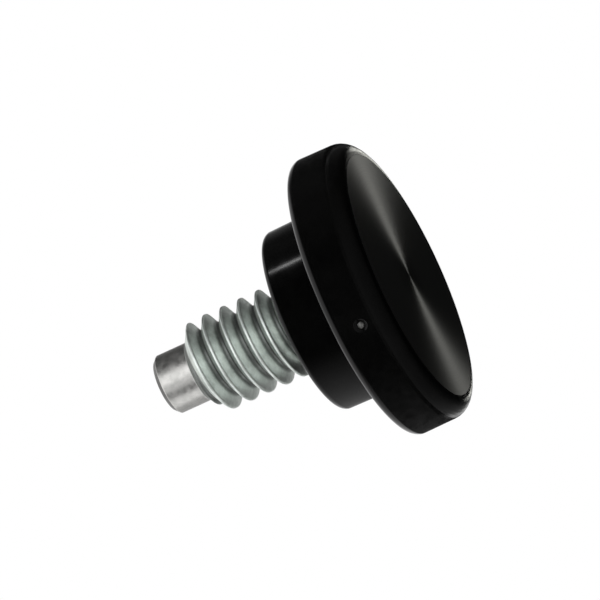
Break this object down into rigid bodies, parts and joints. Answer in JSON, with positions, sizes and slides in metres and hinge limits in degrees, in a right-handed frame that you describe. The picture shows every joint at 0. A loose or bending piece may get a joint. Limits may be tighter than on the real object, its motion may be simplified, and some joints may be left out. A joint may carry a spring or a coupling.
{
  "type": "thumb screw",
  "caption": "Thumb screw with a smooth round black plastic head and collar moulded onto a zinc-plated threaded stud that ends in a plain pilot, turned by hand to clamp or adjust.",
  "frame": {"origin": "centre of the head's flat front face, on which the screw stands", "axes": "+Z runs along the screw's axis from the head to the tip of the stud; the mark on the rim faces -Y"},
  "size_m": [0.019, 0.019, 0.0176],
  "materials": {
    "black_plastic": "moulded black, satin gloss, fine rings on the front face",
    "zinc_steel": "bright zinc plating"
  },
  "bodies": {
    "root": {"head": "black_plastic", "stud": "zinc_steel"}
  },
  "joints": []
}
